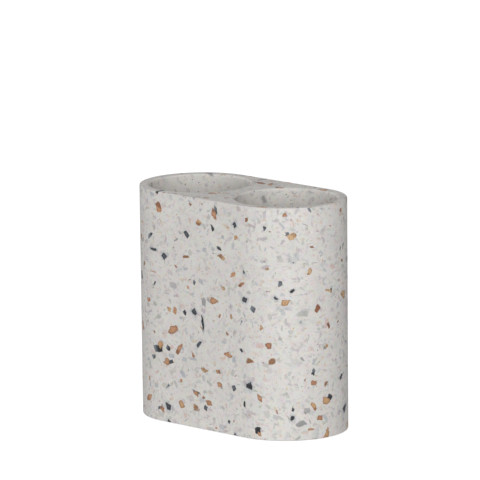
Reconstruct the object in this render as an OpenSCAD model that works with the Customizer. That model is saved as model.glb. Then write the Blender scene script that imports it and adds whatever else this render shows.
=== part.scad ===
// Toothbrush holder for a washbasin: one cast body with two round cups side by side, on a soft foot pad.
// Millimetres. Z is up, X runs along the row of cups, Y from front to back.
// The origin is the centre of the underside, on the surface that the holder stands on.

/* [Cups] */
// Diameter of each cup
cup_d = 48; // [40:0.5:60]
// Thickness of the solid floor under the cups, above the pad recess
cup_floor_t = 6.5; // [3:0.5:15]
// Radius where a cup's wall meets its floor
cup_floor_r = 4; // [1:0.5:12]
// Radius of the eased edge round each cup's mouth
mouth_edge_r = 1.2; // [0.4:0.1:2]

/* [Walls] */
// Wall between a cup and the front or back of the body, at the rim
side_wall = 5; // [4:0.25:10]
// Wall between a cup and the end of the body, at the rim
end_wall = 4.25; // [4:0.25:10]
// Web left standing between the two cups
web = 8.5; // [5:0.5:20]

/* [Body] */
// Height of the cast body, without the part of the pad that stands below it
body_h = 110; // [70:0.5:140]
// How far the outer wall leans in on each side from the rim to the foot, so that the casting leaves its mould
draft = 0.3; // [0:0.1:1.5]
// Radius of the outer edge round the rim
rim_edge_r = 0.4; // [0.3:0.1:1.8]
// Radius of the outer edge round the foot
foot_edge_r = 0.5; // [0.4:0.1:2.5]

/* [Foot pad] */
// Thickness of the die-cut foam pad
pad_t = 2; // [1:0.25:3]
// How far the pad stands below the body
pad_stand = 0.5; // [0.3:0.1:0.9]
// Band of body left round the pad's recess, at the foot
pad_band = 4; // [3:0.5:10]
// Gap all round between the pad and the wall of its recess
pad_gap = 0.3; // [0.1:0.05:0.8]
// Thickness of the adhesive film that holds the pad
film_t = 0.15; // [0.1:0.05:0.4]
// How far the film's edge stays inside the pad's edge
film_inset = 0.5; // [0.2:0.1:2]

/* [Hidden] */
$fn = 128;

// How far a cut runs past the face that it opens
overrun = 1;

// Plan of the body: two round ends joined by straight sides
cup_r = cup_d / 2;
body_l = 2 * cup_d + web + 2 * end_wall;
body_w = cup_d + 2 * side_wall;
end_r = body_w / 2;
end_x = (body_l - body_w) / 2;
cup_x = (cup_d + web) / 2;

// Levels, counted up from the surface that the holder stands on
foot_z = pad_stand;
rim_z = foot_z + body_h;
film_z = pad_t;
recess_z = pad_t + film_t;
cup_floor_z = recess_z + cup_floor_t;

// The outer wall leans by this angle, so its rounded edges meet it away from the quarter points
lean = atan(draft / body_h);
foot_r = end_r - draft;
recess_r = foot_r - pad_band;
pad_r = recess_r - pad_gap;
film_r = pad_r - film_inset;

// Distance of the outer wall from the centre line at a height above the foot
function wall_at(h) = foot_r + draft * h / body_h;

// Centre of an edge rounding of radius r, at height h above the foot, that just touches the outer wall
function edge_x(h, r) = wall_at(h) - r / cos(lean);

// Point where that rounding meets the outer wall
function touch(h, r) = [edge_x(h, r) + r * cos(lean), h - r * sin(lean)];

// One side of the body's section, from its centre line out to its leaning wall
module half_section() {
    foot_h = foot_edge_r;
    rim_h = body_h - rim_edge_r;
    polygon([
        [0, 0],
        [edge_x(foot_h, foot_edge_r), 0],
        touch(foot_h, foot_edge_r),
        touch(rim_h, rim_edge_r),
        [edge_x(rim_h, rim_edge_r), body_h],
        [0, body_h]
    ]);
    translate([edge_x(foot_h, foot_edge_r), foot_h])
        circle(r = foot_edge_r);
    translate([edge_x(rim_h, rim_edge_r), rim_h])
        circle(r = rim_edge_r);
}

// Round end of the body on the +X side
module body_end() {
    translate([end_x, 0, foot_z])
        rotate_extrude(angle = 180, start = -90)
            half_section();
}

// Straight middle of the body, between the centres of its two round ends
module body_middle() {
    translate([-end_x, 0, foot_z])
        rotate([90, 0, 90])
            linear_extrude(height = 2 * end_x) {
                half_section();
                mirror([1, 0])
                    half_section();
            }
}

// The body before its cups and its recess are cut
module blank() {
    body_end();
    mirror([1, 0, 0])
        body_end();
    body_middle();
}

// Half of a cup's section: filleted floor, straight wall and a mouth that opens over its eased edge
module cup_section() {
    floor_r = min(cup_floor_r, cup_r - overrun);
    fillet_z = cup_floor_z + floor_r;
    mouth_z = rim_z - mouth_edge_r;
    mouth_r = cup_r + mouth_edge_r;
    translate([0, cup_floor_z])
        square([cup_r - floor_r, rim_z - cup_floor_z + overrun]);
    translate([0, fillet_z])
        square([cup_r, rim_z - fillet_z + overrun]);
    translate([cup_r - floor_r, fillet_z])
        circle(r = floor_r);
    difference() {
        translate([0, mouth_z])
            square([mouth_r, mouth_edge_r + overrun]);
        translate([mouth_r, mouth_z])
            circle(r = mouth_edge_r);
    }
}

// What one cup takes out of the body
module cup_cut() {
    rotate_extrude()
        cup_section();
}

// Plan with two round ends on the same centres as the body's ends
module plan(r) {
    square([2 * end_x, 2 * r], center = true);
    for (side = [-1, 1])
        translate([side * end_x, 0])
            circle(r = r);
}

// A flat sheet of that plan, from height z up
module sheet(r, z, t) {
    translate([0, 0, z])
        linear_extrude(height = t)
            plan(r);
}

// Cast body with its two cups, and the shallow recess underneath for the pad
module body() {
    color([0.80, 0.78, 0.76])
        difference() {
            blank();
            for (side = [-1, 1])
                translate([side * cup_x, 0, 0])
                    cup_cut();
            sheet(recess_r, foot_z - overrun, recess_z - foot_z + overrun);
        }
}

// Thin adhesive film between the roof of the recess and the pad
module pad_film() {
    color([0.90, 0.88, 0.80])
        sheet(film_r, film_z, film_t);
}

// Soft foam pad that the holder stands on
module foot_pad() {
    color([0.16, 0.16, 0.17])
        sheet(pad_r, 0, pad_t);
}

body();
pad_film();
foot_pad();
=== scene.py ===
"""Toothbrush holder with two cups: its cast body, foot pad and stage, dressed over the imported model."""

import math

import bmesh
import bpy
from bpy.props import (
    CollectionProperty,
    FloatProperty,
    FloatVectorProperty,
    IntProperty,
    PointerProperty,
    StringProperty,
)
from mathutils import Matrix, Vector


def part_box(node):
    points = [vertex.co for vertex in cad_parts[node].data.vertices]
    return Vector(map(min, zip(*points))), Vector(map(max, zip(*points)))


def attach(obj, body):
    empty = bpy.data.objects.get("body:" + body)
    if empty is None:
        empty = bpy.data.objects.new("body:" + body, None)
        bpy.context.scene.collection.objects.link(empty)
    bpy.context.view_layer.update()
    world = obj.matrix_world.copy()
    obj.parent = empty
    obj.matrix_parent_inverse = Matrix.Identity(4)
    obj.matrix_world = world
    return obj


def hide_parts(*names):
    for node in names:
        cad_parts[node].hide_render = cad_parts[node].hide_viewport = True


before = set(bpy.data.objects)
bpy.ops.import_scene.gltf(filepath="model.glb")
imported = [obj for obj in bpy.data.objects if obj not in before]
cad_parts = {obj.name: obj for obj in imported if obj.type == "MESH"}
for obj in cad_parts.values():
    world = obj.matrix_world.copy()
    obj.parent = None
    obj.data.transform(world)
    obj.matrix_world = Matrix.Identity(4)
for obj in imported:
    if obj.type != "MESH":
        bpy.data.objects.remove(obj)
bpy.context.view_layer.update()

bl_info = {
    "name": "Terrazzo toothbrush holder",
    "version": (1, 0, 0),
    "blender": (4, 5, 0),
    "location": "View3D > Sidebar > Holder",
    "description": "Makes a two-cup terrazzo toothbrush holder with its foot pad, film, stage and camera",
    "category": "Add Mesh",
}

MM = 0.001
BODY_LOW, BODY_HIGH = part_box("body")
PAD_LOW, PAD_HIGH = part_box("foot_pad")
FILM_LOW, FILM_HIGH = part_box("pad_film")

# Side of the photograph in pixels, the camera's sensor in millimetres, and how near and far it sees in metres
PHOTO_SIDE = 480
SENSOR = 36.0
CLIP = (0.1, 30.0)

# Straight sides that make up the round floor
FLOOR_SIDES = 96

# Brightness of the paper's duller grain
PAPER_DIM = 0.99

WHITE = (1.0, 1.0, 1.0)

# Spacing of the nodes in the node editor, across and down
NODE_PITCH = (220, 190)

# Points closer than this are one, and a bend sharper than this keeps its edge
WELD = 0.001 * MM
CREASE = math.radians(40)

# How far a finished piece's box may be from its CAD node's
SEAT_TOLERANCE = 0.05 * MM


def linear(*codes):
    """Scene-linear colour from red, green and blue written as 0 to 255."""
    shares = [code / 255 for code in codes]
    return tuple(s / 12.92 if s <= 0.04045 else ((s + 0.055) / 1.055) ** 2.4 for s in shares)


def distance(name, description, default):
    """A length property, in metres."""
    return FloatProperty(
        name=name,
        description=description,
        default=default,
        min=0,
        unit="LENGTH",
        subtype="DISTANCE",
        precision=5,
    )


def share(name, description, default):
    """A property from 0 to 1."""
    return FloatProperty(name=name, description=description, default=default, min=0, max=1, subtype="FACTOR")


def colour(name, description, *codes):
    """A colour property, its default written as 0 to 255."""
    return FloatVectorProperty(
        name=name, description=description, default=linear(*codes), size=3, min=0, max=1, subtype="COLOR"
    )


def count(name, description, default, low, high):
    """A whole-number property between two limits."""
    return IntProperty(name=name, description=description, default=default, min=low, max=high)


def angle(name, description, degrees):
    """An angle property, its default written in degrees."""
    return FloatProperty(
        name=name, description=description, default=math.radians(degrees), unit="ROTATION", subtype="ANGLE"
    )


def pixel(name, description, default):
    """A place in the photograph, in pixels."""
    return FloatProperty(name=name, description=description, default=default, subtype="PIXEL")


def power(name, description, watts):
    """A lamp's power."""
    return FloatProperty(name=name, description=description, default=watts, min=0, unit="POWER")


class BodySizes(bpy.types.PropertyGroup):
    """Sizes of the cast body; its outside and its levels come from the frame."""

    length: distance("Length", "Overall length of the body at its rim", BODY_HIGH.x - BODY_LOW.x)
    depth: distance("Depth", "Overall depth of the body at its rim", BODY_HIGH.y - BODY_LOW.y)
    foot: distance("Foot level", "Height of the body's underside", BODY_LOW.z)
    rim: distance("Rim level", "Height of the rim", BODY_HIGH.z)
    recess: distance("Recess level", "Height of the roof of the pad's recess", FILM_HIGH.z)
    lean: distance("Lean", "How far each side leans in from rim to foot", 0.3 * MM)
    cup: distance("Cup diameter", "Diameter of each cup", 48 * MM)
    web: distance("Web", "Web left standing between the two cups", 8.5 * MM)
    cup_floor: distance("Cup floor", "Thickness of the floor between the recess and the cups", 6.5 * MM)
    floor_fillet: distance("Floor fillet", "Radius between a cup's wall and floor", 4 * MM)
    mouth_edge: distance("Mouth edge", "Radius of the eased edge round each mouth", 1.2 * MM)
    rim_edge: distance("Rim edge", "Radius of the outer edge round the rim", 0.4 * MM)
    foot_edge: distance("Foot edge", "Radius of the outer edge round the foot", 0.5 * MM)
    band: distance("Foot band", "Width of the band round the pad's recess", 4 * MM)
    segments: count("Segments", "Steps round a full circle", 160, 16, 512)
    steps: count("Edge steps", "Steps over each rounded edge", 7, 1, 24)


class SheetSizes(bpy.types.PropertyGroup):
    """Sizes of a flat die-cut sheet with round ends."""

    edge: distance("Edge radius", "Radius of the sheet's cut edges", 0.2 * MM)
    segments: count("Segments", "Steps round a full circle", 128, 16, 512)
    steps: count("Edge steps", "Steps over each rounded edge", 3, 1, 12)


class ChipKind(bpy.types.PropertyGroup):
    """One kind of chip in the terrazzo: how far apart, how large and how clear its chips are."""

    name: StringProperty(name="Kind", description="What the chips of this kind are", default="chips")
    draw: count("Draw", "Number of the random draw that scatters the chips", 1, 0, 99)
    cell: distance("Spacing", "Mean distance between neighbouring places for a chip", 6 * MM)
    length: distance("Half length", "Half the length of the largest chip", 2 * MM)
    breadth: distance("Half breadth", "Half the breadth of the largest chip", 1.2 * MM)
    thickness: distance("Half thickness", "Half the thickness of the largest chip", 0.8 * MM)
    variety: share("Variety", "How much smaller than the largest a chip may be", 0.6)
    filled: share("Filled places", "Share of the places that hold a chip", 0.7)
    softness: share("Softness", "How gradually a chip's edge fades into the resin", 0.1)
    strength: share("Strength", "How fully a chip hides the resin", 1.0)
    in_cups: share("In the cups", "Share of that strength left under the moulded skin of the cups", 0.2)


# Each kind of chip, from the faintest to the boldest, with its settings in the order of CHIP_FIELDS
CHIP_FIELDS = (
    "draw", "cell", "length", "breadth", "thickness", "variety", "filled", "softness", "strength", "in_cups",
)
CHIP_KINDS = {
    "clouds": (1, 5.6 * MM, 3.0 * MM, 2.2 * MM, 1.5 * MM, 0.5, 0.85, 0.7, 0.2, 0.6),
    "flakes": (2, 4.4 * MM, 3.1 * MM, 2.2 * MM, 1.2 * MM, 0.5, 0.9, 0.45, 0.56, 1.0),
    "shards": (3, 3.3 * MM, 2.6 * MM, 1.6 * MM, 0.8 * MM, 0.5, 0.92, 0.5, 0.6, 1.0),
    "splinters": (4, 2.2 * MM, 1.8 * MM, 1.1 * MM, 0.48 * MM, 0.5, 0.9, 0.5, 0.57, 1.0),
    "grains": (5, 1.05 * MM, 0.6 * MM, 0.45 * MM, 0.34 * MM, 0.5, 0.85, 0.6, 0.5, 1.0),
    "needles": (6, 5.4 * MM, 2.8 * MM, 2.0 * MM, 0.22 * MM, 0.5, 0.6, 0.5, 0.5, 0.8),
    "pebbles": (7, 6.3 * MM, 3.3 * MM, 2.1 * MM, 1.35 * MM, 0.6, 0.95, 0.25, 0.62, 0.7),
    "specks": (8, 2.7 * MM, 0.62 * MM, 0.5 * MM, 0.42 * MM, 0.6, 0.85, 0.4, 0.9, 1.0),
    "slate": (15, 10.0 * MM, 5.5 * MM, 1.8 * MM, 1.6 * MM, 0.66, 0.94, 0.14, 1.0, 0.45),
    "ochre": (23, 9.0 * MM, 4.3 * MM, 2.15 * MM, 1.7 * MM, 0.7, 0.95, 0.14, 1.0, 0.2),
}


class TerrazzoLook(bpy.types.PropertyGroup):
    """Colours and finish of the cast terrazzo."""

    resin: colour("Resin", "Cream-white resin between the chips", 230, 227, 223)
    skin: colour("Skin", "Resin-rich skin inside the cups", 235, 232, 227)
    ochre: colour("Ochre", "Orange-brown chips", 206, 160, 126)
    gold: colour("Gold", "Golden chips", 212, 172, 130)
    brick: colour("Brick", "Reddish-brown chips", 186, 138, 110)
    umber: colour("Umber", "Dark side of the brown chips", 130, 88, 68)
    slate: colour("Slate", "Dark slate chips", 58, 58, 61)
    slate_grey: colour("Slate grey", "Blue-grey slate chips", 94, 98, 106)
    grey: colour("Grey", "Grey shards", 168, 170, 164)
    lilac: colour("Lilac", "Lilac-grey shards", 182, 167, 178)
    blue: colour("Blue grey", "Blue-grey shards", 164, 172, 182)
    rose: colour("Rose", "Pinkish shards", 216, 180, 172)
    sand: colour("Sand", "Sand-coloured shards", 214, 182, 142)
    chalk: colour("Chalk", "Chips whiter than the resin", 240, 239, 238)
    amber: colour("Amber", "Lightest specks", 222, 186, 118)
    rust: colour("Rust", "Darkest brown chips and specks", 158, 112, 88)
    cloud_size: distance("Cloud size", "Width of the paler and duller clouds in the resin", 14 * MM)
    stain: share("Stain", "How far the resin's tint wanders", 0.075)
    stain_size: distance("Stain size", "Width of the patches of one tint", 2.4 * MM)
    wander: distance("Wander", "How far the chips' outlines wander, so that they look broken", 0.9 * MM)
    wander_size: distance("Wander size", "Width of one wander of an outline", 1.1 * MM)
    roughness: share("Roughness", "Roughness of the honed resin", 0.56)
    unevenness: share("Unevenness", "How far the roughness swings from place to place", 0.12)
    polish: share("Polish", "How much less rough the slate and ochre chips are", 0.08)
    grain: distance("Grain depth", "Depth of the fine honing marks", 0.012 * MM)
    grain_size: distance("Grain size", "Width of the fine honing marks", 0.35 * MM)


class PadLook(bpy.types.PropertyGroup):
    """Colours and cells of the foam pad and of its adhesive film."""

    foam: colour("Foam", "Burst cells of the foam", 22, 22, 24)
    wall: colour("Cell wall", "Walls between the foam's cells", 58, 58, 60)
    dust: colour("Dust", "Paler patches on the foam", 74, 74, 76)
    cell: distance("Cell size", "Width of one cell of the foam", 0.7 * MM)
    cell_depth: distance("Cell depth", "Depth of the burst cells", 0.08 * MM)
    patch: distance("Patch size", "Width of the paler patches", 2 * MM)
    film: colour("Film", "Milky film", 232, 228, 212)
    bubbles: colour("Bubbles", "Bubbles under the film", 214, 206, 180)
    bubble: distance("Bubble spacing", "Spacing of the bubbles under the film", 2.5 * MM)
    streak: distance("Streak size", "Width of the film's duller streaks", 3 * MM)


class StageLook(bpy.types.PropertyGroup):
    """Camera, lamps and floor."""

    azimuth: angle("Camera azimuth", "Turn of the camera from the front towards +X", 44.26)
    elevation: angle("Camera elevation", "Height of the camera above the horizon", 10.88)
    roll: angle("Camera roll", "Turn of the camera about its own axis", -0.61)
    reach: distance("Camera distance", "Distance of the camera from the middle of the body", 3.0)
    lens: FloatProperty(
        name="Focal length", description="Focal length on a 36 mm sensor", default=478.35, unit="CAMERA"
    )
    aim_x: pixel("Aim across", "Pixel column of the body's middle", 243.16)
    aim_y: pixel("Aim down", "Pixel row of the body's middle", 305.0)
    front_power: power("Front lamp", "Power of the low lamp beside the camera", 25.5)
    high_power: power("High lamp", "Power of the lamp above the camera", 7)
    side_power: power("Side lamp", "Power of the lamp far out on the left", 9)
    lamp_reach: distance("Lamp distance", "Distance of each lamp from the middle of the body", 2.4)
    lamp_size: distance("Lamp size", "Diameter of each lamp", 1.0)
    ambient: share("Ambient", "Strength of the light from all round", 0.26)
    floor_reach: distance("Floor radius", "Radius of the pale floor", 9.0)
    paper: colour("Paper", "Pale floor and backdrop", 246, 246, 246)
    paper_grain: distance("Paper grain", "Width of the paper's grain", 4 * MM)
    paper_glow: share("Paper glow", "What the floor adds to white where the camera sees it", 0.72)


# Each lamp's azimuth and elevation in degrees, and the setting that holds its power
LAMPS = {
    "front_lamp": (44, 12, "front_power"),
    "high_lamp": (44, 55, "high_power"),
    "side_lamp": (-80, 15, "side_power"),
}


def own_settings(group):
    """A group's own properties, without those that every group has."""
    return [prop for prop in group.bl_rna.properties if prop.identifier not in ("rna_type", "name")]


def labelled(group):
    """A group's values by their labels, which are also the names of the shape trees' inputs."""
    return {prop.name: getattr(group, prop.identifier) for prop in own_settings(group)}


# Node trees


def socket_of(node, key):
    """A node's enabled input, by its name or by its place among the enabled ones."""
    enabled = [s for s in node.inputs if s.enabled]
    return enabled[key] if isinstance(key, int) else next(s for s in enabled if s.name == key)


def put(tree, kind, feeds=(), **settings):
    """Add a node, set its options, and feed its inputs with values or with other nodes' outputs."""
    node = tree.nodes.new(kind)
    for name, value in settings.items():
        setattr(node, name, value)
    for key, value in dict(feeds).items():
        if isinstance(value, bpy.types.NodeSocket):
            tree.links.new(value, socket_of(node, key))
        else:
            socket_of(node, key).default_value = value
    return node


def calc(tree, operation, *values):
    """Output of a Math node."""
    return put(tree, "ShaderNodeMath", enumerate(values), operation=operation).outputs[0]


def vector_calc(tree, operation, *values, out="Vector"):
    """Output of a Vector Math node."""
    return put(tree, "ShaderNodeVectorMath", enumerate(values), operation=operation).outputs[out]


def fraction(tree, value, stride):
    """A further random number from 0 to 1, drawn out of the first by a long stride."""
    return calc(tree, "FRACT", calc(tree, "MULTIPLY", value, stride))


def fade(tree, value, start, end, low=0.0, high=1.0):
    """Smooth step from low to high, as value goes from start to end."""
    feeds = {"Value": value, "From Min": start, "From Max": end, "To Min": low, "To Max": high}
    return put(tree, "ShaderNodeMapRange", feeds, interpolation_type="SMOOTHSTEP").outputs[0]


def between(tree, way, low, high):
    """Value that lies a share of the way, from 0 to 1, between low and high."""
    return put(tree, "ShaderNodeMapRange", {"Value": way, "To Min": low, "To Max": high}).outputs[0]


def new_group(name, kind, inputs, outputs):
    """A node group with named sockets; returns the tree, its inputs by name and its output node."""
    tree = bpy.data.node_groups.new(name, kind)
    for label, socket_type, default in inputs:
        socket = tree.interface.new_socket(label, in_out="INPUT", socket_type=socket_type)
        if default is not None:
            socket.default_value = default
    for label, socket_type in outputs:
        tree.interface.new_socket(label, in_out="OUTPUT", socket_type=socket_type)
    given = tree.nodes.new("NodeGroupInput")
    result = tree.nodes.new("NodeGroupOutput")
    return tree, {s.name: s for s in given.outputs if s.name}, result


def finish_group(tree, result, outputs):
    """Link a group's outputs and lay its nodes out."""
    for name, value in outputs.items():
        tree.links.new(value, result.inputs[name])
    arrange(tree)
    return tree


def use_group(tree, name, maker, feeds):
    """Outputs of a node group placed in a tree; the group is built the first time that it is asked for."""
    group = bpy.data.node_groups.get(name) or maker(name)
    kind = "GeometryNodeGroup" if tree.bl_idname == "GeometryNodeTree" else "ShaderNodeGroup"
    return put(tree, kind, feeds, node_tree=group).outputs


def arrange(tree):
    """Lay the nodes out in columns, each to the left of what it feeds."""
    column = {node: 0 for node in tree.nodes}
    for _ in tree.nodes:
        moved = False
        for link in tree.links:
            if column[link.from_node] <= column[link.to_node]:
                column[link.from_node] = column[link.to_node] + 1
                moved = True
        if not moved:
            break
    filled = {}
    for node in tree.nodes:
        row = filled.get(column[node], 0)
        node.location = (-NODE_PITCH[0] * column[node], -NODE_PITCH[1] * row)
        filled[column[node]] = row + 1


# Shapes


def size_inputs(group):
    """Inputs of a shape tree for every size in a group, with the same labels and defaults."""
    kinds = {"INT": "NodeSocketInt", "FLOAT": "NodeSocketFloat"}
    return [(prop.name, kinds[prop.type], prop.default) for prop in own_settings(group)]


SEAL_INPUTS = [
    ("Weld", "NodeSocketFloat", WELD),
    ("Crease", "NodeSocketFloat", CREASE),
    ("Material", "NodeSocketMaterial", None),
]


def bent_line(tree, corners, steps):
    """Section curve in the XZ plane through the corners (x, z, radius), each rounded by its radius."""
    line = put(tree, "GeometryNodeMeshLine", {"Count": len(corners)}).outputs[0]
    index = put(tree, "GeometryNodeInputIndex").outputs[0]
    places, radii = (
        put(tree, "GeometryNodeIndexSwitch", data_type=data_type) for data_type in ("VECTOR", "FLOAT")
    )
    for switch in (places, radii):
        while len(switch.index_switch_items) < len(corners):
            switch.index_switch_items.new()
        tree.links.new(index, socket_of(switch, "Index"))
    for number, (x, z, radius) in enumerate(corners):
        place = put(tree, "ShaderNodeCombineXYZ", {"X": x, "Z": z}).outputs[0]
        tree.links.new(place, socket_of(places, str(number)))
        if isinstance(radius, bpy.types.NodeSocket):
            tree.links.new(radius, socket_of(radii, str(number)))
    feeds = {"Geometry": line, "Name": "edge", "Value": radii.outputs[0]}
    kept = put(tree, "GeometryNodeStoreNamedAttribute", feeds, data_type="FLOAT", domain="POINT").outputs[0]
    feeds = {"Geometry": kept, "Position": places.outputs[0]}
    placed = put(tree, "GeometryNodeSetPosition", feeds).outputs[0]
    curve = put(tree, "GeometryNodeMeshToCurve", {"Mesh": placed}).outputs[0]
    edge = put(tree, "GeometryNodeInputNamedAttribute", {"Name": "edge"}, data_type="FLOAT").outputs[0]
    feeds = {"Curve": curve, "Count": steps, "Radius": edge}
    return put(tree, "GeometryNodeFilletCurve", feeds, mode="POLY").outputs[0]


def split_index(tree, number, length):
    """Which run of a given length a whole number falls in, and its place in that run."""
    # Half a step keeps the division clear of whole numbers
    inside = calc(tree, "ADD", number, 0.5)
    run = calc(tree, "FLOOR", calc(tree, "DIVIDE", inside, length))
    return run, calc(tree, "SUBTRACT", number, calc(tree, "MULTIPLY", run, length))


def turned_group(name):
    """Geometry group: turns a section about Z and parts its halves along X, with straight sides between."""
    inputs = (
        ("Section", "NodeSocketGeometry", None),
        ("Segments", "NodeSocketInt", 96),
        ("Spread", "NodeSocketFloat", 0.0),
        ("Weld", "NodeSocketFloat", WELD),
    )
    tree, given, result = new_group(name, "GeometryNodeTree", inputs, (("Mesh", "NodeSocketGeometry"),))
    feeds = {"Geometry": given["Section"]}
    rows = put(tree, "GeometryNodeAttributeDomainSize", feeds, component="CURVE").outputs[0]
    half = calc(tree, "MULTIPLY", given["Segments"], 0.5)
    per_side = calc(tree, "ADD", half, 1)
    around = calc(tree, "MULTIPLY", per_side, 2)
    columns = calc(tree, "ADD", around, 1)
    grid = put(tree, "GeometryNodeMeshGrid", {"Vertices X": rows, "Vertices Y": columns}).outputs["Mesh"]
    index = put(tree, "GeometryNodeInputIndex").outputs[0]
    row, column = split_index(tree, index, columns)
    # The last column is the first one again, which closes the shape
    _, column = split_index(tree, column, around)
    side, step = split_index(tree, column, per_side)
    quarter_back = calc(tree, "SUBTRACT", calc(tree, "DIVIDE", step, half), 0.5)
    turn = calc(tree, "MULTIPLY", calc(tree, "ADD", quarter_back, side), math.pi)
    position = put(tree, "GeometryNodeInputPosition").outputs[0]
    feeds = {"Geometry": given["Section"], "Value": position, "Index": row}
    sample = put(tree, "GeometryNodeSampleIndex", feeds, data_type="FLOAT_VECTOR", domain="POINT").outputs[0]
    point = put(tree, "ShaderNodeSeparateXYZ", {0: sample}).outputs
    outward = calc(tree, "SUBTRACT", 1.0, calc(tree, "MULTIPLY", side, 2.0))
    shift = calc(tree, "MULTIPLY", given["Spread"], outward)
    x = calc(tree, "ADD", calc(tree, "MULTIPLY", point["X"], calc(tree, "COSINE", turn)), shift)
    y = calc(tree, "MULTIPLY", point["X"], calc(tree, "SINE", turn))
    place = put(tree, "ShaderNodeCombineXYZ", {"X": x, "Y": y, "Z": point["Z"]}).outputs[0]
    mesh = put(tree, "GeometryNodeSetPosition", {"Geometry": grid, "Position": place}).outputs[0]
    mesh = put(tree, "GeometryNodeMergeByDistance", {"Geometry": mesh, "Distance": given["Weld"]}).outputs[0]
    return finish_group(tree, result, {"Mesh": mesh})


def turned(tree, given, corners, spread):
    """A section with rounded corners, turned about Z and parted by the spread."""
    section = bent_line(tree, corners, given["Edge steps"])
    feeds = {"Section": section, "Segments": given["Segments"], "Spread": spread, "Weld": given["Weld"]}
    return use_group(tree, "Turned section", turned_group, feeds)[0]


def plan_of(tree, given):
    """Radius of the plan's round ends, and the distance of their centres from the middle."""
    radius = calc(tree, "MULTIPLY", given["Depth"], 0.5)
    straight = calc(tree, "SUBTRACT", given["Length"], given["Depth"])
    return radius, calc(tree, "MULTIPLY", straight, 0.5)


def joined(tree, *parts):
    """Several pieces of geometry as one."""
    node = put(tree, "GeometryNodeJoinGeometry")
    for part in parts:
        tree.links.new(part, node.inputs[0])
    return node.outputs[0]


def sealed(tree, given, mesh):
    """Weld, smooth, crease and give the material: how every shape tree ends."""
    feeds = {"Geometry": mesh, "Distance": given["Weld"]}
    mesh = put(tree, "GeometryNodeMergeByDistance", feeds).outputs[0]
    feeds = {"Geometry": mesh, "Shade Smooth": True}
    mesh = put(tree, "GeometryNodeSetShadeSmooth", feeds, domain="FACE").outputs[0]
    bend = put(tree, "GeometryNodeInputMeshEdgeAngle").outputs[0]
    feeds = {"A": bend, "B": given["Crease"]}
    sharp = put(tree, "FunctionNodeCompare", feeds, operation="GREATER_THAN").outputs[0]
    feeds = {"Geometry": mesh, "Selection": sharp, "Shade Smooth": False}
    mesh = put(tree, "GeometryNodeSetShadeSmooth", feeds, domain="EDGE").outputs[0]
    mesh = put(tree, "GeometryNodeRealizeInstances", {"Geometry": mesh}).outputs[0]
    return put(tree, "GeometryNodeSetMaterial", {"Geometry": mesh, "Material": given["Material"]}).outputs[0]


def outer_wall(tree, given):
    """The body's outside: the recess, the foot, the leaning wall and the start of the rim."""
    end, spread = plan_of(tree, given)
    foot = calc(tree, "SUBTRACT", end, given["Lean"])
    recess = calc(tree, "SUBTRACT", foot, given["Foot band"])
    lip = calc(tree, "SUBTRACT", end, calc(tree, "MULTIPLY", given["Rim edge"], given["Lip reach"]))
    corners = (
        (0.0, given["Recess level"], 0),
        (recess, given["Recess level"], 0),
        (recess, given["Foot level"], 0),
        (foot, given["Foot level"], given["Foot edge"]),
        (end, given["Rim level"], given["Rim edge"]),
        (lip, given["Rim level"], 0),
    )
    return turned(tree, given, corners, spread)


def cup_walls(tree, given):
    """Insides of the two cups: floor, fillet, wall and eased mouth."""
    radius = calc(tree, "MULTIPLY", given["Cup diameter"], 0.5)
    floor = calc(tree, "ADD", given["Recess level"], given["Cup floor"])
    lip = calc(tree, "ADD", radius, calc(tree, "MULTIPLY", given["Mouth edge"], given["Lip reach"]))
    corners = (
        (0.0, floor, 0),
        (radius, floor, given["Floor fillet"]),
        (radius, given["Rim level"], given["Mouth edge"]),
        (lip, given["Rim level"], 0),
    )
    cup = turned(tree, given, corners, 0.0)
    pitch = calc(tree, "ADD", given["Cup diameter"], given["Web"])
    left = calc(tree, "MULTIPLY", pitch, -0.5)
    start, offset = (put(tree, "ShaderNodeCombineXYZ", {"X": x}).outputs[0] for x in (left, pitch))
    feeds = {"Count": 2, "Start Location": start, "Offset": offset}
    pair = put(tree, "GeometryNodeMeshLine", feeds).outputs[0]
    cups = put(tree, "GeometryNodeInstanceOnPoints", {"Points": pair, "Instance": cup}).outputs[0]
    return put(tree, "GeometryNodeRealizeInstances", {"Geometry": cups}).outputs[0]


def flat_rim(tree, given, walls):
    """The flat of the rim, filled in between the walls' open edges."""
    neighbours = put(tree, "GeometryNodeInputMeshEdgeNeighbors").outputs[0]
    feeds = {"A": neighbours, "B": 1}
    open_edge = put(tree, "FunctionNodeCompare", feeds, data_type="INT", operation="EQUAL").outputs[0]
    outline = put(tree, "GeometryNodeMeshToCurve", {"Mesh": walls, "Selection": open_edge}).outputs[0]
    flat = put(tree, "GeometryNodeFillCurve", {"Curve": outline}, mode="TRIANGLES").outputs[0]
    lift = put(tree, "ShaderNodeCombineXYZ", {"Z": given["Rim level"]}).outputs[0]
    return put(tree, "GeometryNodeTransform", {"Geometry": flat, "Translation": lift}).outputs[0]


def body_tree():
    """Geometry tree of the cast body: turned outside, two turned cups and a flat rim between them."""
    # The flat of the rim starts past each rounded edge, at this many of its radii from the wall
    lip = ("Lip reach", "NodeSocketFloat", 1.25)
    inputs = [*size_inputs(BodySizes), lip, *SEAL_INPUTS]
    tree, given, result = new_group(
        "Cast body", "GeometryNodeTree", inputs, (("Geometry", "NodeSocketGeometry"),)
    )
    walls = joined(tree, outer_wall(tree, given), cup_walls(tree, given))
    whole = joined(tree, walls, flat_rim(tree, given, walls))
    return finish_group(tree, result, {"Geometry": sealed(tree, given, whole)})


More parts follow.
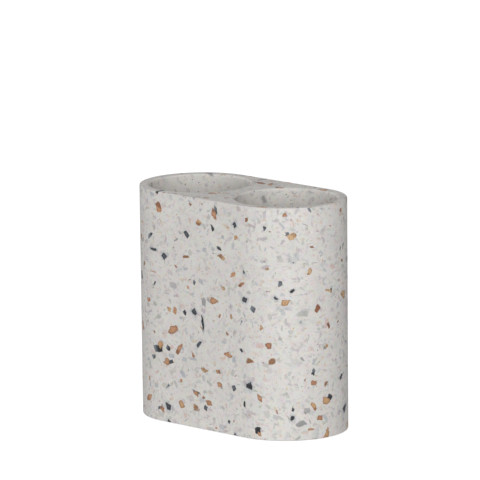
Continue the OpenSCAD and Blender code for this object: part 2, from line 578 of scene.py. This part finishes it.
def sheet_tree():
    """Geometry tree of a flat sheet with round ends."""
    box = [(name, "NodeSocketFloat", 10 * MM) for name in ("Length", "Depth", "Underside", "Top")]
    inputs = [*box, *size_inputs(SheetSizes), *SEAL_INPUTS]
    tree, given, result = new_group(
        "Die-cut sheet", "GeometryNodeTree", inputs, (("Geometry", "NodeSocketGeometry"),)
    )
    end, spread = plan_of(tree, given)
    corners = (
        (0.0, given["Underside"], 0),
        (end, given["Underside"], given["Edge radius"]),
        (end, given["Top"], given["Edge radius"]),
        (0.0, given["Top"], 0),
    )
    mesh = turned(tree, given, corners, spread)
    return finish_group(tree, result, {"Geometry": sealed(tree, given, mesh)})


def grow(name, tree, settings, material):
    """Run a shape tree with its settings and return its result as a plain closed piece at the origin."""
    piece = bpy.data.objects.new(name, bpy.data.meshes.new(name))
    bpy.context.scene.collection.objects.link(piece)
    modifier = piece.modifiers.new("Shape", "NODES")
    modifier.node_group = tree
    sockets = {s.name: s.identifier for s in tree.interface.items_tree if s.in_out == "INPUT"}
    for label, value in {**settings, "Material": material}.items():
        modifier[sockets[label]] = value
    flatten(piece)
    shape = bmesh.new()
    shape.from_mesh(piece.data)
    bmesh.ops.recalc_face_normals(shape, faces=shape.faces)
    loose = [edge for edge in shape.edges if len(edge.link_faces) != 2]
    volume = shape.calc_volume(signed=True)
    shape.to_mesh(piece.data)
    shape.free()
    if loose or volume <= 0:
        raise RuntimeError(f"{name}: {len(loose)} open edges, volume {volume}")
    weighted = piece.modifiers.new("Even shading", "WEIGHTED_NORMAL")
    weighted.keep_sharp = True
    flatten(piece)
    return piece


def flatten(piece):
    """Turn a piece's modifiers into plain mesh and remove them."""
    depsgraph = bpy.context.evaluated_depsgraph_get()
    shown = piece.evaluated_get(depsgraph)
    mesh = bpy.data.meshes.new_from_object(shown, preserve_all_data_layers=True, depsgraph=depsgraph)
    old = piece.data
    piece.modifiers.clear()
    piece.data = mesh
    mesh.name = piece.name
    bpy.data.meshes.remove(old)


def seat(piece, node):
    """Put a finished piece in the place of its CAD node, with that node's box."""
    low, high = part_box(node)
    for axis in range(3):
        places = [corner[axis] for corner in piece.bound_box]
        off = max(abs(min(places) - low[axis]), abs(max(places) - high[axis]))
        if off > SEAT_TOLERANCE:
            raise RuntimeError(f"{piece.name}: its box is {off / MM:.3f} mm off the CAD node's")
    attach(piece, "root")
    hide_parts(node)


# Materials


# Each effect sets in as what it follows goes from its first number to its second;
# a third and a fourth give what it goes from and to, which are 0 and 1 elsewhere
FADES = {
    "heart": (0.9, 0.45),
    "push": (1.4, 0.6),
    "cloud gathers": (0.25, 0.75, 0.55, 1.0),
    "shard tone": (0.0, 1.0, 0.3, 1.0),
    "pebble tone": (0.0, 1.0, 0.45, 1.0),
    "halo reach": (1.9, 0.9),
    "halo pick": (0.55, 0.75, 0.0, 0.4),
    "slate middle": (1.0, 0.4),
    "slate tone": (0.45, 0.8),
    "slate mottle": (0.5, 0.62, 0.0, 0.4),
    "slate tail": (0.3, -0.3, 0.0, 0.55),
    "ochre end": (0.42, 0.08),
    "ochre vein": (0.53, 0.6, 0.0, 0.7),
    "ochre edge": (0.5, 0.8),
    "edge tone": (0.35, 0.65, 0.0, 0.7),
    "foam wall": (0.2, 0.5),
    "foam dust": (0.4, 0.7, 0.0, 0.45),
    "film": (0.1, 0.3),
}


def follow(tree, name, value):
    """One of the effects in FADES, following a value."""
    return fade(tree, value, *FADES[name])


# Where a chip lies in its cell: 0 is always the middle, 1 is anywhere
CHIP_SCATTER = 0.8

# Weight of a chip's rounded core beside its flat faces, and how softly the faces meet
CHIP_ROUNDNESS = 0.7
CORNER_SOFTNESS = 0.2

# A face's weight is drawn from the first of these up to the first plus the second
FACE_WEIGHT = 0.7
FACE_VARIETY = 0.65

# What an empty cell adds to its field, so that nothing near it is taken for a chip
EMPTY_FIELD = 9.0

# Strides that draw a chip's turn, pick and tone out of its cell's random colour
TURN_STRIDE = 41.7
PICK_STRIDE = 77.7
TONE_STRIDE = 13.9

# Each half size of a chip, with the channel and the stride that its random share is drawn by
CHIP_HALVES = (
    ("Half length", "Green", 23.3),
    ("Half breadth", "Blue", 57.1),
    ("Half thickness", "Red", 91.9),
)

# Direction of each flat face of a chip, with the channel and the stride that its weight is drawn by
CHIP_FACETS = (
    ((1.0, 0.3, 0.15), "Red", 37.3),
    ((-0.95, 0.35, -0.2), "Green", 61.7),
    ((-0.4, -1.0, 0.2), "Blue", 29.9),
    ((0.55, -0.9, -0.15), "Red", 71.3),
    ((0.05, 1.0, 0.1), "Green", 43.1),
    ((0.1, 0.25, 1.0), "Blue", 83.9),
    ((-0.15, -0.2, -1.0), "Red", 53.3),
)


def chip_group(name):
    """Shader group: a solid pattern with a flat-sided chip in each cell, turned and sized at random."""
    inputs = (
        ("Vector", "NodeSocketVector", None),
        ("Shift", "NodeSocketVector", None),
        ("Cell", "NodeSocketFloat", 6 * MM),
        ("Half length", "NodeSocketFloat", 2 * MM),
        ("Half breadth", "NodeSocketFloat", 1 * MM),
        ("Half thickness", "NodeSocketFloat", 1 * MM),
        ("Variety", "NodeSocketFloat", 0.6),
        ("Filled", "NodeSocketFloat", 0.7),
        ("Softness", "NodeSocketFloat", 0.1),
    )
    outputs = [(label, "NodeSocketFloat") for label in ("Mask", "Field", "Along", "Pick", "Tone")]
    tree, given, result = new_group(name, "ShaderNodeTree", inputs, outputs)
    place = vector_calc(tree, "ADD", given["Vector"], given["Shift"])
    fineness = calc(tree, "DIVIDE", 1.0, given["Cell"])
    feeds = {"Vector": place, "Scale": fineness, "Randomness": CHIP_SCATTER}
    cell = put(tree, "ShaderNodeTexVoronoi", feeds, voronoi_dimensions="3D", feature="F1")
    local = vector_calc(tree, "SUBTRACT", place, cell.outputs["Position"])
    draw = put(tree, "ShaderNodeSeparateColor", {0: cell.outputs["Color"]}).outputs
    axis = vector_calc(tree, "SUBTRACT", cell.outputs["Color"], (0.5, 0.5, 0.5))
    turn = calc(tree, "MULTIPLY", fraction(tree, draw["Blue"], TURN_STRIDE), math.tau)
    feeds = {"Vector": local, "Axis": axis, "Angle": turn}
    local = put(tree, "ShaderNodeVectorRotate", feeds, rotation_type="AXIS_ANGLE").outputs[0]
    halves = []
    for label, channel, stride in CHIP_HALVES:
        loss = calc(tree, "MULTIPLY", fraction(tree, draw[channel], stride), given["Variety"])
        halves.append(calc(tree, "MULTIPLY", given[label], calc(tree, "SUBTRACT", 1.0, loss)))
    size = put(tree, "ShaderNodeCombineXYZ", enumerate(halves)).outputs[0]
    local = vector_calc(tree, "DIVIDE", local, size)
    field = calc(tree, "MULTIPLY", vector_calc(tree, "LENGTH", local, out="Value"), CHIP_ROUNDNESS)
    for facet, channel, stride in CHIP_FACETS:
        reach = vector_calc(tree, "DOT_PRODUCT", local, facet, out="Value")
        weight = calc(tree, "MULTIPLY_ADD", fraction(tree, draw[channel], stride), FACE_VARIETY, FACE_WEIGHT)
        face = calc(tree, "MULTIPLY", reach, weight)
        field = calc(tree, "SMOOTH_MAX", field, face, CORNER_SOFTNESS)
    within = fade(tree, field, 1.0, calc(tree, "SUBTRACT", 1.0, given["Softness"]))
    there = calc(tree, "LESS_THAN", draw["Red"], given["Filled"])
    empty = calc(tree, "SUBTRACT", 1.0, there)
    outputs = {
        "Mask": calc(tree, "MULTIPLY", within, there),
        "Field": calc(tree, "ADD", field, calc(tree, "MULTIPLY", empty, EMPTY_FIELD)),
        "Along": put(tree, "ShaderNodeSeparateXYZ", {0: local}).outputs["X"],
        "Pick": fraction(tree, draw["Green"], PICK_STRIDE),
        "Tone": fraction(tree, draw["Blue"], TONE_STRIDE),
    }
    return finish_group(tree, result, outputs)


def grain_group(name):
    """Shader group: fine uneven grain, as a value about a mean and as a height for a bump."""
    inputs = (
        ("Vector", "NodeSocketVector", None),
        ("Size", "NodeSocketFloat", 0.5 * MM),
        ("Mean", "NodeSocketFloat", 0.5),
        ("Swing", "NodeSocketFloat", 0.1),
    )
    outputs = (("Value", "NodeSocketFloat"), ("Height", "NodeSocketFloat"))
    tree, given, result = new_group(name, "ShaderNodeTree", inputs, outputs)
    feeds = {"Vector": given["Vector"], "Scale": calc(tree, "DIVIDE", 1.0, given["Size"]), "Detail": 3.0}
    noise = put(tree, "ShaderNodeTexNoise", feeds).outputs["Fac"]
    centred = calc(tree, "SUBTRACT", noise, 0.5)
    value = calc(tree, "ADD", given["Mean"], calc(tree, "MULTIPLY", centred, given["Swing"]))
    return finish_group(tree, result, {"Value": value, "Height": noise})


def grained(tree, vector, size, mean, swing):
    """Outputs of the fine grain at one size and swing."""
    feeds = {"Vector": vector, "Size": size, "Mean": mean, "Swing": swing}
    return use_group(tree, "Fine grain", grain_group, feeds)


def cells_at(tree, vector, size):
    """Distance from the middle of cells of one size."""
    return put(tree, "ShaderNodeTexVoronoi", {"Vector": vector, "Scale": 1 / size}).outputs["Distance"]


def opaque(tint):
    """A plain colour with its alpha; a socket stays as it is."""
    return tint if isinstance(tint, bpy.types.NodeSocket) else (*tint, 1.0)


def ramp(tree, value, stops, interpolation="LINEAR"):
    """Colour ramp with stops of (place, colour)."""
    node = put(tree, "ShaderNodeValToRGB", {"Fac": value})
    node.color_ramp.interpolation = interpolation
    points = node.color_ramp.elements
    while len(points) < len(stops):
        points.new(1.0)
    for point, (place, tint) in zip(points, stops):
        point.position = place
        point.color = opaque(tint)
    return node.outputs["Color"]


def blend(tree, under, over, factor, way="MIX"):
    """Lay one colour over another by a factor from 0 to 1."""
    feeds = {"Factor": factor, "A": opaque(under), "B": opaque(over)}
    node = put(tree, "ShaderNodeMix", feeds, data_type="RGBA", blend_type=way, clamp_factor=True)
    return next(s for s in node.outputs if s.enabled)


def new_material(name):
    """A new material; returns it, its tree, its Principled BSDF and the Object coordinates."""
    material = bpy.data.materials.new(name)
    material.use_nodes = True
    tree = material.node_tree
    shader = next(n for n in tree.nodes if n.type == "BSDF_PRINCIPLED")
    return material, tree, shader, put(tree, "ShaderNodeTexCoord").outputs["Object"]


def dress(tree, shader, base, roughness, bump=None):
    """Link what a finished surface needs to its shader; bump holds the settings of a Bump node."""
    tree.links.new(base, shader.inputs["Base Color"])
    tree.links.new(roughness, shader.inputs["Roughness"])
    if bump:
        tree.links.new(put(tree, "ShaderNodeBump", bump).outputs[0], shader.inputs["Normal"])
    arrange(tree)


# Terrazzo


# Colours that the chips of a kind are picked from, each with the pick that it starts at
PALETTES = {
    "shards": (
        (0.0, "grey"), (0.34, "lilac"), (0.56, "blue"), (0.74, "rose"), (0.84, "sand"), (0.92, "chalk"),
    ),
    "needles": ((0.0, "slate_grey"), (0.5, "grey")),
    "pebbles": ((0.0, "grey"), (0.26, "slate_grey"), (0.38, "lilac"), (0.66, "blue"), (0.9, "rose")),
    "specks": ((0.0, "amber"), (0.4, "sand"), (0.6, "ochre"), (0.82, "rust"), (0.93, "slate")),
    "ochre": ((0.0, "ochre"), (0.42, "gold"), (0.68, "brick"), (0.8, "sand"), (0.95, "rust")),
}

# Shift of the pattern for each number of the random draw, and the push of one kind on the next
DRAW_SHIFT = (0.137, 0.071, 0.193)
PUSH = (0.05 * MM, -0.04 * MM, 0.06 * MM)

# The resin's clouds: the grain's values where they are dimmest and palest, and their brightness there
CLOUD_ENDS = ((0.3, 0.96), (0.7, 1.03))

# The ground face gives way to the cups' skin between these shares of the mouth's edge,
# and the skin ends between these depths under the cups' floors
MOUTH_SHARES = (0.1, 0.9)
SKIN_DEPTHS = (1.0 * MM, 0.5 * MM)

# How far a chip's end is tinted by its place along the chip, beside its random number
ALONG_WEIGHT = 0.8

# How far the shaded parts of an ochre chip turn to umber
UMBER_SHARE = 0.75


def both(tree, first, second):
    """Product of two masks."""
    return calc(tree, "MULTIPLY", first, second)


def cup_mask(tree, vector, sizes):
    """1 on the ground outside and rim, 0 on the moulded skin inside the cups."""
    place = put(tree, "ShaderNodeSeparateXYZ", {0: vector}).outputs
    across = calc(tree, "SUBTRACT", calc(tree, "ABSOLUTE", place["X"]), (sizes.cup + sizes.web) / 2)
    flat = put(tree, "ShaderNodeCombineXYZ", {"X": across, "Y": place["Y"]}).outputs[0]
    radius = vector_calc(tree, "LENGTH", flat, out="Value")
    mouth = [sizes.cup / 2 + way * sizes.mouth_edge for way in MOUTH_SHARES]
    floor = sizes.recess + sizes.cup_floor
    outside = fade(tree, radius, *mouth)
    below = fade(tree, place["Z"], *(floor - depth for depth in SKIN_DEPTHS), 1.0, 0.0)
    return calc(tree, "MAXIMUM", outside, below)


class ChipLayers:
    """Lays one kind of chip after another, each a little pushed aside by the last.

    The push also has the renderer work the kinds out one by one, which keeps its stack short.
    """

    def __init__(self, tree, kinds, place, ground):
        self.tree = tree
        self.kinds = kinds
        self.place = place
        self.ground = ground

    def add(self, name):
        """Outputs of one kind of chip, its mask where it shows, and the strength that it shows with."""
        kind = self.kinds[name]
        feeds = {
            "Vector": self.place, "Shift": tuple(step * kind.draw for step in DRAW_SHIFT), "Cell": kind.cell,
            "Half length": kind.length, "Half breadth": kind.breadth, "Half thickness": kind.thickness,
            "Variety": kind.variety, "Filled": kind.filled, "Softness": kind.softness,
        }
        out = use_group(self.tree, "Stone chips", chip_group, feeds)
        seen = between(self.tree, self.ground, kind.strength * kind.in_cups, kind.strength)
        # Only the heart of a chip shows through the cups' skin
        heart = follow(self.tree, "heart", out["Field"])
        mask = between(self.tree, self.ground, heart, out["Mask"])
        push = follow(self.tree, "push", out["Field"])
        self.place = vector_calc(self.tree, "MULTIPLY_ADD", push, PUSH, self.place)
        return out, both(self.tree, mask, seen), seen

    def tint(self, look, out, palette):
        """Each chip's own colour, picked out of a palette."""
        stops = [(start, getattr(look, name)) for start, name in PALETTES[palette]]
        return ramp(self.tree, out["Pick"], stops, "CONSTANT")


def clouded_resin(tree, look, vector, cloud, ground):
    """Cream resin with soft clouds and stains, and its skin inside the cups."""
    stops = [(place, tuple(min(1.0, c * level) for c in look.resin)) for place, level in CLOUD_ENDS]
    resin = ramp(tree, cloud, stops)
    feeds = {"Vector": vector, "Scale": 1 / look.stain_size, "Detail": 2.0}
    stains = put(tree, "ShaderNodeTexNoise", feeds).outputs["Color"]
    return blend(tree, blend(tree, look.skin, resin, ground), stains, look.stain, "LINEAR_LIGHT")


def lay_pale_chips(tree, look, layers, base, cloud):
    """Faint clouds, flakes, shards, splinters and grains, gathered where the resin is paler."""
    gather = follow(tree, "cloud gathers", cloud)
    for name in ("clouds", "flakes", "shards", "splinters", "grains"):
        out, mask, _ = layers.add(name)
        tint = layers.tint(look, out, "shards")
        strength = both(tree, mask, follow(tree, "shard tone", out["Tone"]))
        base = blend(tree, base, tint, both(tree, strength, gather))
    return base


def lay_small_chips(tree, look, layers, base, ground):
    """Thin needles, clear grey pebbles and small specks, which are grey in the cups."""
    out, mask, _ = layers.add("needles")
    base = blend(tree, base, layers.tint(look, out, "needles"), mask)
    out, mask, _ = layers.add("pebbles")
    strength = both(tree, mask, follow(tree, "pebble tone", out["Tone"]))
    base = blend(tree, base, layers.tint(look, out, "pebbles"), strength)
    out, mask, _ = layers.add("specks")
    tint = blend(tree, look.slate_grey, layers.tint(look, out, "specks"), ground)
    return blend(tree, base, tint, mask)


def lay_slate(tree, look, layers, base, mottle):
    """Dark slate chips, some with a blue halo or a blue tail; returns the colour and their mask."""
    out, mask, seen = layers.add("slate")
    halo = both(tree, follow(tree, "halo reach", out["Field"]), follow(tree, "halo pick", out["Pick"]))
    base = blend(tree, base, look.blue, both(tree, halo, seen))
    middle = both(tree, follow(tree, "slate middle", out["Field"]), follow(tree, "slate tone", out["Tone"]))
    grey = calc(tree, "MAXIMUM", middle, follow(tree, "slate mottle", mottle))
    tint = ramp(tree, grey, ((0.0, look.slate), (1.0, look.slate_grey)))
    along = calc(tree, "MULTIPLY_ADD", out["Along"], ALONG_WEIGHT, out["Pick"])
    tint = blend(tree, tint, look.blue, follow(tree, "slate tail", along))
    return blend(tree, base, tint, mask), mask


def lay_ochre(tree, look, layers, base, mottle):
    """Ochre chips, umber at one end, in their veins and on some edges; returns the colour and their mask."""
    out, mask, _ = layers.add("ochre")
    tint = layers.tint(look, out, "ochre")
    along = calc(tree, "MULTIPLY_ADD", out["Along"], ALONG_WEIGHT, out["Tone"])
    vein = follow(tree, "ochre vein", mottle)
    edge = both(tree, follow(tree, "ochre edge", out["Field"]), follow(tree, "edge tone", out["Tone"]))
    shade = calc(tree, "MAXIMUM", follow(tree, "ochre end", along), vein)
    shade = calc(tree, "MAXIMUM", shade, edge)
    tint = blend(tree, tint, look.umber, calc(tree, "MULTIPLY", shade, UMBER_SHARE))
    return blend(tree, base, tint, mask), mask


def terrazzo_material(look, kinds, sizes):
    """Honed terrazzo: cream resin with ten kinds of chips, laid from the faintest to the boldest."""
    material, tree, shader, vector = new_material("honed terrazzo")
    feeds = {"Vector": vector, "Scale": 1 / look.wander_size, "Detail": 2.0, "Roughness": 0.6}
    noise = put(tree, "ShaderNodeTexNoise", feeds).outputs["Color"]
    centred = vector_calc(tree, "SUBTRACT", noise, (0.5, 0.5, 0.5))
    broken = vector_calc(tree, "ADD", vector, vector_calc(tree, "MULTIPLY", centred, (look.wander,) * 3))
    mottle = put(tree, "ShaderNodeSeparateColor", {0: noise}).outputs["Blue"]
    ground = cup_mask(tree, vector, sizes)
    cloud = grained(tree, vector, look.cloud_size, mean=0.5, swing=1.0)["Value"]
    layers = ChipLayers(tree, kinds, broken, ground)
    base = clouded_resin(tree, look, vector, cloud, ground)
    base = lay_pale_chips(tree, look, layers, base, cloud)
    base = lay_small_chips(tree, look, layers, base, ground)
    base, slate_mask = lay_slate(tree, look, layers, base, mottle)
    base, ochre_mask = lay_ochre(tree, look, layers, base, mottle)
    grain = grained(tree, vector, look.grain_size, look.roughness, look.unevenness)
    stone = calc(tree, "MAXIMUM", slate_mask, ochre_mask)
    rough = calc(tree, "SUBTRACT", grain["Value"], calc(tree, "MULTIPLY", stone, look.polish))
    bump = {"Strength": 0.35, "Distance": look.grain, "Height": grain["Height"]}
    dress(tree, shader, base, rough, bump)
    shader.inputs["Specular IOR Level"].default_value = 0.15
    return material


# Pad, film and paper


def foam_material(look):
    """Closed-cell foam: near black, matt, with fine burst cells."""
    material, tree, shader, vector = new_material("closed-cell foam")
    pores = follow(tree, "foam wall", cells_at(tree, vector, look.cell))
    grain = grained(tree, vector, look.patch, mean=0.88, swing=0.12)
    base = blend(tree, look.foam, look.wall, pores)
    base = blend(tree, base, look.dust, follow(tree, "foam dust", grain["Height"]))
    bump = {"Strength": 0.6, "Distance": look.cell_depth, "Height": pores}
    dress(tree, shader, base, grain["Value"], bump)
    return material


def film_material(look):
    """Adhesive film: pale, slightly milky, with faint bubbles."""
    material, tree, shader, vector = new_material("adhesive film")
    grain = grained(tree, vector, look.streak, mean=0.4, swing=0.3)
    clear = follow(tree, "film", cells_at(tree, vector, look.bubble))
    base = blend(tree, look.bubbles, look.film, clear)
    dress(tree, shader, base, grain["Value"])
    return material


def paper_material(stage):
    """Pale paper: a diffuse floor that reaches white where the camera sees it lit."""
    material, tree, shader, vector = new_material("pale paper")
    grain = grained(tree, vector, stage.paper_grain, mean=0.9, swing=0.05)
    dimmer = tuple(c * PAPER_DIM for c in stage.paper)
    tint = ramp(tree, grain["Height"], ((0.0, dimmer), (1.0, tuple(stage.paper))))
    seen = put(tree, "ShaderNodeLightPath").outputs["Is Camera Ray"]
    glow = calc(tree, "MULTIPLY", seen, stage.paper_glow)
    tree.links.new(glow, shader.inputs["Emission Strength"])
    shader.inputs["Emission Color"].default_value = opaque(WHITE)
    shader.inputs["Specular IOR Level"].default_value = 0.0
    dress(tree, shader, tint, grain["Value"])
    return material


# Operators


class HOLDER_OT_cast_body(bpy.types.Operator):
    """Make the cast terrazzo body with its two cups"""

    bl_idname = "holder.cast_body"
    bl_label = "Cast body"

    def execute(self, context):
        scene = context.scene
        sizes = scene.holder_body
        material = terrazzo_material(scene.holder_terrazzo, scene.holder_chips, sizes)
        seat(grow("cast_body", body_tree(), labelled(sizes), material), "body")
        return {"FINISHED"}


class HOLDER_OT_foot_pad(bpy.types.Operator):
    """Make the foam foot pad and the adhesive film above it"""

    bl_idname = "holder.foot_pad"
    bl_label = "Foot pad"

    def execute(self, context):
        sizes = context.scene.holder_sheet
        look = context.scene.holder_pad
        tree = sheet_tree()
        for name, node, slot, edge, material, low, high in (
            ("foam_pad", "foot_pad", "foam", sizes.edge, foam_material(look), PAD_LOW, PAD_HIGH),
            ("adhesive_film", "pad_film", "adhesive", 0.0, film_material(look), FILM_LOW, FILM_HIGH),
        ):
            box = {"Length": high.x - low.x, "Depth": high.y - low.y, "Underside": low.z, "Top": high.z}
            settings = {**box, **labelled(sizes), "Edge radius": edge}
            seat(grow(name, tree, settings, material), node)
        return {"FINISHED"}


class HOLDER_OT_stage(bpy.types.Operator):
    """Make the pale floor, the lamps, the world and the camera"""

    bl_idname = "holder.stage"
    bl_label = "Stage and camera"

    def execute(self, context):
        stage = context.scene.holder_stage
        middle = Vector((0, 0, (BODY_LOW.z + BODY_HIGH.z) / 2))
        lay_floor(stage)
        hang_lamps(stage, middle)
        light_world(stage)
        set_camera(stage, middle)
        context.scene.view_settings.view_transform = "Standard"
        return {"FINISHED"}


def towards(azimuth, elevation):
    """Unit vector from the object towards a viewer, azimuth 0 in front and 90 degrees on the +X side."""
    flat = math.cos(elevation)
    return Vector((math.sin(azimuth) * flat, -math.cos(azimuth) * flat, math.sin(elevation)))


def lay_floor(stage):
    """Round floor of paper, level with the foot pad's underside."""
    shape = bmesh.new()
    bmesh.ops.create_circle(shape, cap_ends=True, segments=FLOOR_SIDES, radius=stage.floor_reach)
    mesh = bpy.data.meshes.new("paper_floor")
    shape.to_mesh(mesh)
    shape.free()
    mesh.materials.append(paper_material(stage))
    floor = bpy.data.objects.new("paper_floor", mesh)
    bpy.context.scene.collection.objects.link(floor)


def hang_lamps(stage, middle):
    """Large soft lamps, each turned to the middle of the body and out of the camera's sight."""
    for name, (azimuth, elevation, setting) in LAMPS.items():
        lamp = bpy.data.lights.new(name, "AREA")
        lamp.shape = "DISK"
        lamp.size = stage.lamp_size
        lamp.energy = getattr(stage, setting)
        stand = bpy.data.objects.new(name, lamp)
        bpy.context.scene.collection.objects.link(stand)
        back = towards(math.radians(azimuth), math.radians(elevation))
        stand.location = middle + back * stage.lamp_reach
        stand.rotation_euler = back.to_track_quat("Z", "Y").to_euler()
        stand.visible_camera = False


def light_world(stage):
    """World of even light: dim as a light, white where the camera or a reflection meets it."""
    world = bpy.data.worlds.new("soft room")
    world.use_nodes = True
    tree = world.node_tree
    background = next(n for n in tree.nodes if n.type == "BACKGROUND")
    path = put(tree, "ShaderNodeLightPath").outputs
    mirrored = calc(tree, "MAXIMUM", path["Is Glossy Ray"], path["Is Transmission Ray"])
    seen = calc(tree, "MAXIMUM", path["Is Camera Ray"], mirrored)
    strength = between(tree, seen, stage.ambient, 1.0)
    background.inputs["Color"].default_value = opaque(WHITE)
    tree.links.new(strength, background.inputs["Strength"])
    arrange(tree)
    bpy.context.scene.world = world


def set_camera(stage, middle):
    """Camera at the photograph's angle, with the body's middle at its place in the picture."""
    data = bpy.data.cameras.new("photo_camera")
    data.sensor_width = SENSOR
    data.lens = stage.lens
    data.clip_start, data.clip_end = CLIP
    camera = bpy.data.objects.new("photo_camera", data)
    bpy.context.scene.collection.objects.link(camera)
    back = towards(stage.azimuth, stage.elevation)
    right = Vector((math.cos(stage.azimuth), math.sin(stage.azimuth), 0))
    up = back.cross(right)
    step = data.sensor_width / data.lens / PHOTO_SIDE * stage.reach
    place = middle + back * stage.reach
    place -= right * (stage.aim_x - PHOTO_SIDE / 2) * step
    place += up * (stage.aim_y - PHOTO_SIDE / 2) * step
    across = right * math.cos(stage.roll) + up * math.sin(stage.roll)
    turn = Matrix((across, back.cross(across), back)).transposed()
    camera.matrix_world = Matrix.Translation(place) @ turn.to_4x4()
    bpy.context.scene.camera = camera


class HOLDER_PT_panel(bpy.types.Panel):
    """Lists the holder's operators and sizes in the 3D view's sidebar"""

    bl_idname = "HOLDER_PT_panel"
    bl_label = "Toothbrush holder"
    bl_space_type = "VIEW_3D"
    bl_region_type = "UI"
    bl_category = "Holder"

    def draw(self, context):
        layout = self.layout
        for operator in OPERATORS:
            layout.operator(operator.bl_idname)
        titled = [(title, getattr(context.scene, name)) for name, (title, _) in GROUPS.items()]
        titled += [(kind.name, kind) for kind in context.scene.holder_chips]
        for title, group in titled:
            box = layout.box()
            box.label(text=title)
            for prop in own_settings(group):
                box.prop(group, prop.identifier)


OPERATORS = (HOLDER_OT_cast_body, HOLDER_OT_foot_pad, HOLDER_OT_stage)

# Each group of settings, by its name on the scene, with its title in the panel
GROUPS = {
    "holder_body": ("Cast body", BodySizes),
    "holder_sheet": ("Pad and film", SheetSizes),
    "holder_terrazzo": ("Terrazzo", TerrazzoLook),
    "holder_pad": ("Foam and film finish", PadLook),
    "holder_stage": ("Stage and camera", StageLook),
}
CLASSES = (*(cls for _, cls in GROUPS.values()), ChipKind, *OPERATORS, HOLDER_PT_panel)


def register():
    """Register the classes and hang their settings on the scene."""
    for cls in CLASSES:
        bpy.utils.register_class(cls)
    for name, (_, cls) in GROUPS.items():
        setattr(bpy.types.Scene, name, PointerProperty(type=cls))
    bpy.types.Scene.holder_chips = CollectionProperty(type=ChipKind)


def unregister():
    """Take the settings off the scene and unregister the classes."""
    del bpy.types.Scene.holder_chips
    for name in GROUPS:
        delattr(bpy.types.Scene, name)
    for cls in reversed(CLASSES):
        bpy.utils.unregister_class(cls)


def main():
    """Register the add-on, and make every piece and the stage."""
    register()
    for name, values in CHIP_KINDS.items():
        kind = bpy.context.scene.holder_chips.add()
        kind.name = name
        for key, value in zip(CHIP_FIELDS, values):
            setattr(kind, key, value)
    bpy.ops.holder.cast_body()
    bpy.ops.holder.foot_pad()
    bpy.ops.holder.stage()


if __name__ == "__main__":
    main()
